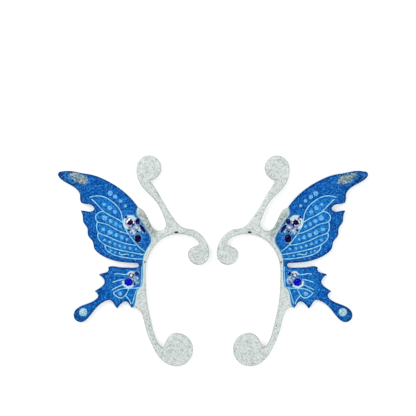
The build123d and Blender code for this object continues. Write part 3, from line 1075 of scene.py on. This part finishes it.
# ------------------------------------------------------------------ setting
@dataclass(frozen=True)
class Lamp:
    """A soft square lamp aimed at the middle of the object."""

    name: str
    place: tuple[float, float, float]
    width: float
    power: float

    def build(self) -> None:
        """Adds the lamp."""
        data = bpy.data.lights.new(self.name, "AREA")
        data.size = self.width
        data.energy = self.power
        lamp = bpy.data.objects.new(self.name, data)
        lamp.location = self.place
        lamp.rotation_euler = (-Vector(self.place)).to_track_quat("-Z", "Y").to_euler()
        bpy.context.scene.collection.objects.link(lamp)


@dataclass(frozen=True)
class Setting:
    """The plain white table, soft light and camera above the pair.

    Attributes:
        view_width: width of the table that the camera sees, in millimetres.
        aim: where on the table it looks, in millimetres.
        lens: focal length of its long lens.
        world: strength of the even light from all round.
        table: colour of the table.
        lift: how much paler the table is where it is seen.
    """

    view_width: float = 233.0
    aim: tuple[float, float] = (-2.8, 29.4)
    lens: float = 100.0
    sensor: float = 36.0
    world: float = 0.60
    table: Colour = (0.98, 0.98, 0.98)
    lift: float = 0.30
    lamps: tuple[Lamp, ...] = (
        Lamp("key_lamp", (-0.62, 0.55, 0.75), 0.7, 5.6),
        Lamp("fill_lamp", (0.75, -0.30, 0.65), 0.9, 3.2),
    )

    def build(self) -> None:
        """Adds the table, light and camera."""
        self.add_table()
        self.add_world()
        for lamp in self.lamps:
            lamp.build()
        data = bpy.data.cameras.new("camera")
        data.lens, data.sensor_width = self.lens, self.sensor
        data.clip_start, data.clip_end = 0.01, 20.0
        camera = bpy.data.objects.new("camera", data)
        reach = self.view_width * self.lens / self.sensor
        camera.location = (self.aim[0] * MM, self.aim[1] * MM, reach * MM)
        bpy.context.scene.collection.objects.link(camera)
        bpy.context.scene.camera = camera
        bpy.context.scene.view_settings.view_transform = "Standard"

    def add_table(self) -> None:
        """Adds the table top, just under the backs of the wings."""
        half, level = 4.0, -0.00002
        mesh = bpy.data.meshes.new("table_top")
        corners = [(-half, -half, level), (half, -half, level), (half, half, level), (-half, half, level)]
        mesh.from_pydata(corners, [], [(0, 1, 2, 3)])
        graph = Graph("table_white")
        graph.shade(Base_Color=self.table, Roughness=0.9, Specular_IOR_Level=0.0)
        seen = graph.add("ShaderNodeLightPath").outputs
        lit = graph.math("ADD", graph.math("ADD", seen["Is Camera Ray"], seen["Is Glossy Ray"]),
                         seen["Is Transmission Ray"], clamp=True)
        graph.shade(Emission_Color=(1.0, 1.0, 1.0), Emission_Strength=graph.math("MULTIPLY", lit, self.lift))
        mesh.materials.append(graph.material)
        table = bpy.data.objects.new("table_top", mesh)
        bpy.context.scene.collection.objects.link(table)

    def add_world(self) -> None:
        """Lights the scene evenly from all round."""
        world = bpy.data.worlds.new("studio")
        world.use_nodes = True
        world.node_tree.nodes["Background"].inputs["Color"].default_value = (1, 1, 1, 1)
        world.node_tree.nodes["Background"].inputs["Strength"].default_value = self.world
        bpy.context.scene.world = world


def repaint(node: str, material: bpy.types.Material) -> None:
    """Gives a CAD node that stays as it is its better finish."""
    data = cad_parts[node].data
    data.materials.clear()
    data.materials.append(material)


def main() -> None:
    """Builds the looks of the pair and the setting."""
    logging.basicConfig(level=logging.INFO)
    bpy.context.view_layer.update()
    materials = {"silver": glitter_material(SILVER, TINTS), "blue": wing_material(BLUE, TINTS),
                 "vein": cast_material(VEIN, TINTS.halo), "dot": cast_material(DOT), "pearl": cast_material(PEARL),
                 "foil": cast_material(FOIL), "speck": cast_material(SPECK), "glue": cast_material(GLUE)}
    materials |= {name: gem_material(gem) for name, gem in GEMS.items()}
    assemblies = [
        ScrollFrame(),
        WingPanel("forewing"),
        WingPanel("hindwing", spread=0.8),
        Cabochons("forewing_dots", "dot", "dot_resin"),
        Cabochons("hindwing_dot", "dot", "dot_resin"),
        Cabochons("tail_pearl", "pearl", "pearl", crown=0.9),
        Stones(),
        Flakes("foil_shards", "forewing_panel", 50, (0.25, 0.85), "foil", "foil", WING_TOP, even=False, patch=True),
    ]
    for assembly in assemblies:
        assembly.build(materials)
        log.info("built %s", type(assembly).__name__)
    for side in Side:
        repaint(f"{side.word}_frame_specks", materials["speck"])
        repaint(f"{side.word}_tip_flakes", materials["foil"])
    Setting().build()


if __name__ == "__main__":
    main()
